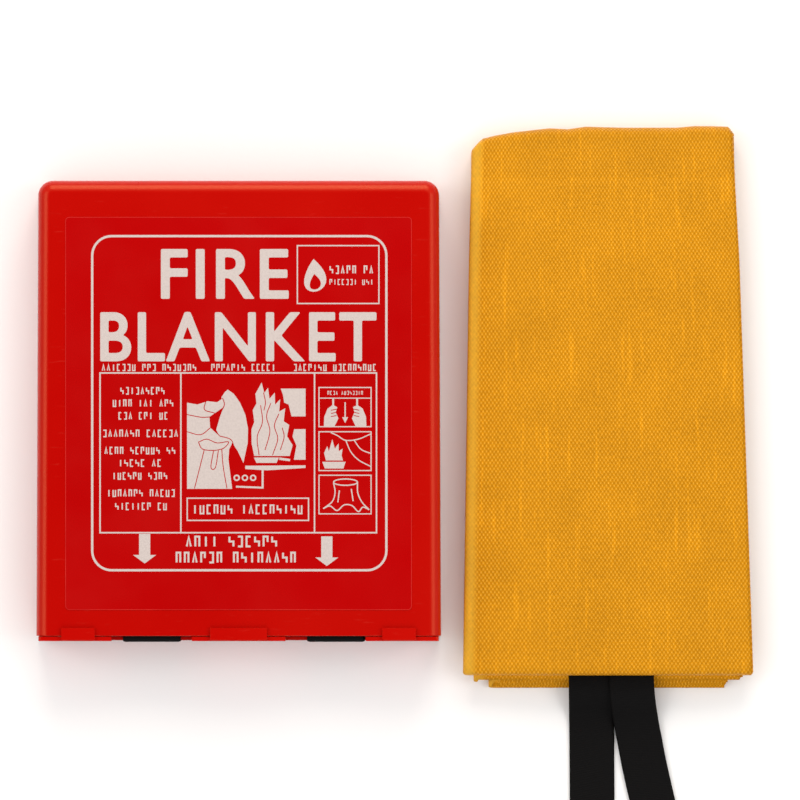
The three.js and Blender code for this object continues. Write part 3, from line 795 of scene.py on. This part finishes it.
toned = node_for(tree, "VectorMath", operation="MULTIPLY_ADD", in0=painted_fold_light, in1=(0.01, 0.07, 0.022),
                 in2=toned).outputs["Vector"]
wired(shader, Base_Color=toned, Roughness=remapped(crowns, 0.62, 0.42),
      Normal=bumped(crowns, 0.00040, 0.8))


def folded_line(order, run, pitch, bulge, share, bend_steps):
    """A line folded over and over. Run k lies at height order[k] times the pitch and goes out or back over
    the length of a run; half an ellipse joins it to the next. Returns how far along, how high, which run."""
    along, level, which = [], [], []
    for k, step in enumerate(order):
        along.append(run * (share if k % 2 == 0 else 1 - share))
        level.append(np.full(len(share), step * pitch))
        which.append(np.full(len(share), float(k)))
        if k + 1 < len(order):
            turn = np.linspace(0, np.pi, bend_steps + 2)[1:-1]
            half = (order[k + 1] - step) * pitch / 2
            outward, end = (1, run) if k % 2 == 0 else (-1, 0)
            along.append(end + outward * bulge * abs(half) * np.sin(turn))
            level.append(step * pitch + half * (1 - np.cos(turn)))
            which.append(k + turn / np.pi)
    return np.concatenate(along), np.concatenate(level), np.concatenate(which)


def folded_cloth(order_x, run_x, order_y, run_y, pitch, bulge_x, bulge_y, steps_x, steps_y, bends=(7, 8)):
    """A cloth folded across and then along, as grids of x, y and z with the run each point is in both ways.
    The pile of the first folding is the thickness that the second one turns over: a point at height h in the
    pile lies at c + s h in a run with its middle at c, where s is 1 and -1 in turn, and goes round each bend
    on its own half ellipse about the bend's shared middle."""
    x, h, strip = folded_line(order_x, run_x, pitch, bulge_x, steps_x, bends[0])
    pile = len(order_x) * pitch
    h = h - (len(order_x) - 1) * pitch / 2
    ys, zs, runs = [], [], []
    for k, step in enumerate(order_y):
        share = steps_y[:, None]
        middle, sign = (step + 0.5) * pile, 1 if k % 2 == 0 else -1
        ys.append(run_y * (share if sign > 0 else 1 - share) + 0 * h)
        zs.append(middle + sign * h + 0 * share)
        runs.append(np.full(len(steps_y), float(k)))
        if k + 1 < len(order_y):
            turn = np.linspace(0, np.pi, bends[1] + 2)[1:-1, None]
            half = (order_y[k + 1] - step) * pile / 2 - sign * h
            outward, end = (1, run_y) if sign > 0 else (-1, 0)
            ys.append(end + outward * bulge_y * np.abs(half) * np.sin(turn))
            zs.append(middle + (order_y[k + 1] - step) * pile / 2 - half * np.cos(turn))
            runs.append(k + turn[:, 0] / np.pi)
    y, z = np.concatenate(ys), np.concatenate(zs)
    run = np.concatenate(runs)[:, None] + 0 * x
    return x + 0 * y, y, z, strip + 0 * y, run


def mapped(mesh, name, flat):
    """Gives a mesh a UV map from the flat place of each of its points."""
    corner = np.zeros(len(mesh.loops), np.int32)
    mesh.loops.foreach_get("vertex_index", corner)
    mesh.uv_layers.new(name=name).data.foreach_set("uv", flat[corner].ravel().astype(np.float32))


def cloth_piece(name, x, y, z, flat_x, flat_y, body, node):
    """A folded cloth's grid as a piece with its thickness, and its place on the flat cloth as its map."""
    rows, columns = x.shape
    mesh = bpy.data.meshes.new(name)
    mesh.from_pydata(np.dstack([x, y, z]).reshape(-1, 3).tolist(), [], grid_faces(rows, columns).tolist())
    mapped(mesh, "cloth", np.dstack([flat_x, flat_y]).reshape(-1, 2))
    mesh.shade_smooth()
    piece = shown(name, mesh, cloth_finish, body, "glass_cloth", node)
    thick = piece.modifiers.new("thickness", "SOLIDIFY")
    thick.thickness, thick.offset, thick.use_rim = cloth_thickness, 0.0, True
    return piece


def travelled(*parts, start=0):
    """The length gone along a grid's rows from its column start, from the places of its points."""
    step = np.sqrt(sum(np.diff(part, axis=1) ** 2 for part in parts))
    gone = np.concatenate([np.zeros((step.shape[0], 1)), np.cumsum(step, axis=1)], axis=1)
    return gone - gone[:, start:start + 1]


def ripple(x, y, *waves):
    """A sum of sine waves, each (height, wavelength along x, wavelength along y, start)."""
    return sum(h * np.sin(2 * np.pi * (x / lx + y / ly) + start) for h, lx, ly, start in waves)


pack_low, pack_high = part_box("packed_blanket")
pack_folds = 6
pack_gap = 0.2 * MM  # left free above and below it
pack_pitch = (pack_high.z - pack_low.z - 2 * pack_gap) / pack_folds**2
pack_bulge, pack_end_bulge = 1.1, 0.55
pack_run_x = pack_high.x - pack_low.x - 2 * (pack_bulge * pack_pitch / 2 + cloth_thickness)
pack_run_y = pack_high.y - pack_low.y - 1.25 * (pack_bulge * pack_folds * pack_pitch + cloth_thickness)
fan = range(pack_folds)  # each run on top of the one before it
x, y, z, strip, run = folded_cloth(fan, pack_run_x, fan, pack_run_y, pack_pitch, pack_bulge, pack_end_bulge,
                                   np.linspace(0, 1, 20), np.linspace(0, 1, 22))
flat_x, flat_y = travelled(x, z), travelled(y.T, z.T).T
x = x - pack_run_x / 2
y = y - pack_run_y / 2 + (pack_low.y + pack_high.y) / 2
stagger = np.random.default_rng(3).uniform(-0.7, 0.7, (pack_folds + 1, pack_folds + 1)) * MM
lie = stagger[strip.astype(int), run.astype(int)]
x = x + lie * np.cos(np.pi * (run % 1)) * 0.6
uneven = ripple(x, y, (0.10 * MM, 0.067, 0.091, 0.4), (0.08 * MM, 0.043, -0.055, 1.9))
z = z + pack_low.z + pack_gap + uneven * z / (pack_high.z - pack_low.z)
packed = cloth_piece("cloth_packed", x, y, z, flat_x + cloth_side, flat_y, "packed", "packed_blanket")

# ---- Pull tapes ----
# Two bands of black webbing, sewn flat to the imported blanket's front. They run down through the flap's
# notches and turn back under the flap, where they are taken hold of.
tape_thickness = 1.1 * MM
selvedge = 1.6 * MM  # the width of a band's woven edge
tape_rise = ((-89.65, 28.35), (-98.0, 28.35), (-106.0, 28.4), (-109.6, 29.5), (-115.6, 33.6),
             (-118.6, 34.95), (-121.0, 34.95), (-122.3, 34.85), (-122.92, 34.47), (-123.3, 33.85),
             (-123.4, 33.0), (-123.4, 29.0), (-123.4, 20.0), (-123.4, 11.3))

webbing_finish, tree, shader = new_finish("black_webbing", IOR=1.45, Specular_IOR_Level=0.10)
band_place = node_for(tree, "UVMap", uv_map="band").outputs["UV"]
band_parts = node_for(tree, "SeparateXYZ", Vector=band_place)
slanted = figured("MULTIPLY_ADD", band_parts.outputs["X"], 0.6, band_parts.outputs["Y"])
ribs = figured("MULTIPLY", wave(band_parts.outputs["X"], 1.25 * MM), wave(slanted, 0.95 * MM))
rib_height = remapped(ribs, 0.0, 1.0, -1.0, 1.0)
fibres = speckle(band_place, 0.0004, 2)
black = ramp_between(figured("MULTIPLY", rib_height, fibres), (0.05, (0.0018, 0.0016, 0.0017)),
                     (0.35, (0.0042, 0.0038, 0.0039)), (0.75, (0.0085, 0.0078, 0.0080)))
wired(shader, Base_Color=black, Roughness=remapped(fibres, 0.62, 0.85, 0.3, 0.7),
      Normal=bumped(rib_height, 0.00018, 0.7))


def webbing_band(name, route, across, width, thickness, body, node):
    """A flat woven band: a section carried along a route. The section is a thin oval-ended rectangle, a
    little thicker at its two woven edges, and across is the sideways direction at each point of the route."""
    across = unit(across)
    normal = np.cross(across, unit(np.gradient(route, axis=0)))
    share = np.concatenate([np.linspace(-0.5, 0.5, 25), np.linspace(0.5, -0.5, 25)])
    upper = np.concatenate([np.ones(25), -np.ones(25)])
    inward = (0.5 - np.abs(share)) * width
    edge = np.clip(inward / (0.45 * thickness), 0, 1)
    half = thickness / 2 * np.sqrt(1 - (1 - edge) ** 2) * np.where(edge < 1, 1.0, 0.9)
    half = upper * half * np.where(inward < selvedge, 1.0, 0.92)
    grid = route[:, None] + across[:, None] * (share * width)[:, None] + normal[:, None] * half[:, None]
    rows, columns = grid.shape[:2]
    corner = np.arange((rows - 1) * columns).reshape(rows - 1, columns)
    beside = np.roll(corner, -1, axis=1)
    faces = np.dstack([corner, corner + columns, beside + columns, beside]).reshape(-1, 4).tolist()
    for start, order in ((0, 1), ((rows - 1) * columns, -1)):
        for k in range(columns // 2 - 1):
            cap = [start + k, start + k + 1, start + columns - 2 - k, start + columns - 1 - k]
            faces.append(cap[::order])
    mesh = bpy.data.meshes.new(name)
    mesh.from_pydata(grid.reshape(-1, 3).tolist(), [], faces)
    gone = np.concatenate([[0], np.cumsum(np.linalg.norm(np.diff(route, axis=0), axis=1))])
    mapped(mesh, "band", np.dstack(np.broadcast_arrays(share * width, gone[:, None])).reshape(-1, 2))
    return shown(name, welded(mesh, 1e-7), webbing_finish, body, "black_webbing", node), gone[-1]


for side in ("left", "right"):
    low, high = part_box("tape_" + side)
    rise = smooth_route(at(tape_rise), 6)
    route = np.column_stack([np.full(len(rise), (low.x + high.x) / 2), rise])
    across = np.tile([1.0, 0.0, 0.0], (len(route), 1))
    tape, length = webbing_band("webbing_tape_" + side, route, across, high.x - low.x, tape_thickness,
                                "packed", "tape_" + side)

# ---- Folded blanket ----
# The same cloth as it looks out of its case: folded in half three times across and twice along, 150 by
# 300 mm. The lower folds slip past the upper ones at the bottom, and the upper ones rise over the straps.
loose_low, loose_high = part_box("folded_blanket")
loose_middle = (loose_low.x + loose_high.x) / 2
loose_bottom = loose_low.y + 8.0 * MM  # the upper folds end here, and the lower ones further out
loose_top = loose_high.y
halved_thrice = [0, 7, 4, 3, 2, 5, 6, 1]  # where each strip lies in the pile
halved_twice = [0, 3, 2, 1]
loose_pitch = 0.52 * MM
loose_bulge_x, loose_bulge_y = 1.5, 0.42
table_gap, pile_gap, strap_gap = 0.3 * MM, 0.6 * MM, 4.1 * MM  # under it, in it, and in it at the straps
side_slip, end_slip = 0.45 * MM, 1.4 * MM  # how far one fold lies out past another
crease_height = 0.50 * MM
top_reach = 26 * MM  # how far down from the top its uneven edge is felt
loose_run_x = 150 * MM
loose_run_y = loose_top - loose_bottom - 3.2 * MM
crease_share = 0.918
steps_x = np.unique(np.concatenate([np.linspace(0, 1, 15), (0.01, 0.025, 0.045, 0.955, 0.975, 0.99)]))
steps_y = np.unique(np.concatenate([np.linspace(0, 0.9, 24), crease_share + np.linspace(-0.01, 0.01, 7),
                                    np.linspace(0.94, 1, 6), (0.01, 0.02)]))
x, y, z, strip, run = folded_cloth(halved_thrice, loose_run_x, halved_twice, loose_run_y, loose_pitch,
                                   loose_bulge_x, loose_bulge_y, steps_x, steps_y, bends=(7, 7))
flat_x = travelled(x, z)
down = 1 - y / loose_run_y  # 0 at the top, 1 at the bottom
down_run = loose_run_y * (1 - down)  # how far above the bottom end of its run
crease = np.exp(-(((1 - down - crease_share) / 0.0035) ** 2))
share = 1 - 2 * (x - x.min()) / (x.max() - x.min())  # -1 to 1; the outermost fold is on the left
out_by_run = at(np.interp(run, range(4), (8.0, 0.0, 0.3, 4.6)))
in_by_run = at(np.interp(run, range(4), (14.2, 0.0, 0.4, 6.2)))
slips = np.random.default_rng(11).uniform(-1, 1, (9, 5))
slip = slips[np.minimum(strip.astype(int), 7), run.astype(int)]
free_end = np.where((run < 0.5) | (run > 2.6), 1.0, 0.0) * np.clip(down, 0, 1) ** 6
along = (y + loose_bottom) / MM
left_edge = at(np.interp(along, (-141.2, 75.4, 137.5, 151.0), (120.5, 123.6, 125.1, 125.5)))
right_edge = at(np.interp(along, (-141.2, 78.0, 137.0, 151.0), (276.5, 269.2, 265.9, 265.4)))
narrowed = in_by_run * np.clip(down, 0, 1)
wide = (right_edge - left_edge) / 2 - narrowed
x = (left_edge + right_edge) / 2 + share * wide + slip * side_slip * np.abs(share) ** 8
in_pile = (z / (8 * loose_pitch)) % 1
y = loose_bottom + 1.0 * MM + y - out_by_run * np.clip(down, 0, 1)
y = y + (slip + 1.1 * in_pile) * end_slip * free_end
top_line = at(np.interp(x / MM, (125, 130.4, 142.2, 167, 176, 192, 197, 242, 245.5, 262.8, 265.6),
                        (139.5, 145.2, 148.0, 150.6, 150.0, 152.2, 150.9, 150.9, 151.9, 151.4, 148.9)))
near_top = np.clip((y - loose_top + top_reach) / top_reach, 0, 1.1) ** 1.5
y = y + (top_line - loose_top) * near_top


def soft_step(value, start, width):
    """1 up to start, falling smoothly to 0 over width."""
    t = np.clip((value - start) / width, 0, 1)
    return 1 - t * t * (3 - 2 * t)


upper = np.clip(np.minimum(run, 3.0 - run), 0, 1)
over_straps = soft_step(np.abs(x - loose_middle - 1.3 * MM), 25 * MM, 58 * MM) * soft_step(
    y - loose_bottom, 33 * MM, 170 * MM)
height = z / (32 * loose_pitch)
z = z + table_gap + upper * (pile_gap + (strap_gap - pile_gap) * over_straps)
uneven = ripple(x, y, (0.28 * MM, 0.083, 0.147, 0.3), (0.20 * MM, 0.051, -0.071, 2.1),
                (0.10 * MM, -0.029, 0.043, 4.0))
z = z + crease_height * crease * height**6 + height**2 * uneven
middle_row = int(np.argmin(np.abs(run[:, 0] - 1) + np.abs(down[:, 0] - 0.5)))
flat_y = travelled(y.T, z.T, start=middle_row).T
loose = cloth_piece("cloth_folded", x, y, z, flat_x, flat_y, "folded", "folded_blanket")
end_reach = 12 * MM  # as far up as the painted light and shade at an end reach
# How far a point lies into the band at each end where light and shade are painted.
to_end = (end_reach - down_run) * ((run == 0) | (run == 3)) - 1.0 * MM * (run == 0)
ends = loose.data.attributes.new("to_end", "FLOAT", "POINT")
ends.data.foreach_set("value", np.clip(to_end, 0, None).ravel())

# ---- Pull straps ----
# Two bands of black webbing, sewn to the blanket's corners. They come out between its folds, the right one
# over the left one's edge, drop over the lower folds and lie on the table.
strap_width = 24.1 * MM
strap_thickness = 1.4 * MM
strap_routes = {
    "left": ((-9.2, 28, 9.8), (-9.2, 10, 9.8), (-9.2, -4, 9.8), (-9.2, -10, 9.2), (-9.1, -15.5, 6.4),
             (-9, -21, 3.1), (-8.9, -27, 1.5), (-8.8, -35, 1.1), (-8.7, -49, 1.1), (-8.6, -68, 1.1),
             (-8.6, -90, 1.1), (-8.6, -114, 1.1), (-8.6, -140, 1.1)),
    "right": ((12.3, 28, 11.6), (12.3, 10, 11.6), (12.5, -4, 11.6), (12.9, -11, 11.2), (13.6, -17, 8.9),
              (14.5, -23, 5.6), (15.6, -29.5, 3.2), (17.2, -37.5, 2.1), (19.4, -49, 1.7), (23.2, -66, 1.5),
              (27.4, -84, 1.4), (32.8, -108, 1.4), (38.8, -136, 1.4)),
}
for side, points in strap_routes.items():
    route = smooth_route(at(points) + (loose_middle, loose_bottom, 0), 10)
    ahead = np.gradient(route, axis=0)
    across = np.column_stack([-ahead[:, 1], ahead[:, 0], 0 * ahead[:, 0]])
    strap, length = webbing_band("webbing_strap_" + side, route, across, strap_width, strap_thickness,
                                 "folded", "strap_" + side)
